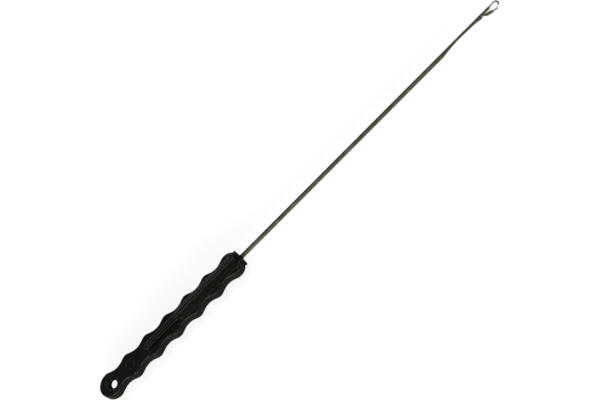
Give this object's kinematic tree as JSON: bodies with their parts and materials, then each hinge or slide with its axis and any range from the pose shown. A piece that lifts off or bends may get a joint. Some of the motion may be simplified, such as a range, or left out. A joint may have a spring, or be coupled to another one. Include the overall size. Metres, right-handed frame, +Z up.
{
  "type": "tyre plug insertion tool",
  "caption": "Long round steel rod with a latched hook at its tip and a flat moulded finger grip with a hang hole, for drawing a repair plug into a tyre.",
  "frame": {"origin": "under the middle of the tool, at its lowest point, on the vertical plane through the rod's axis", "axes": "+X along the rod from the grip to the hook, +Z up out of the grip's flat upper side, +Y across the grip; the rod's axis runs along X at z = 6.15 mm"},
  "size_m": [0.3592, 0.0178, 0.0123],
  "materials": {
    "grip": "moulded vinyl, near black with a green cast, satin gloss",
    "washer": "black, dull",
    "rod": "drawn steel, olive grey, lightly stained",
    "latch": "steel, brown-grey oxide, worn bright at the tip",
    "rivet": "bright peened steel"
  },
  "bodies": {
    "tool": {"grip": "grip", "mouth_washer": "washer", "rod": "rod", "latch_rivet": "rivet"},
    "latch": {"latch": "latch"}
  },
  "joints": [
    {"name": "latch_hinge", "type": "hinge", "parent": "tool", "child": "latch", "pos_m": [0.16491, 0, 0.00615], "axis": [0, 0.6428, -0.766], "range_deg": [0, 154]}
  ]
}
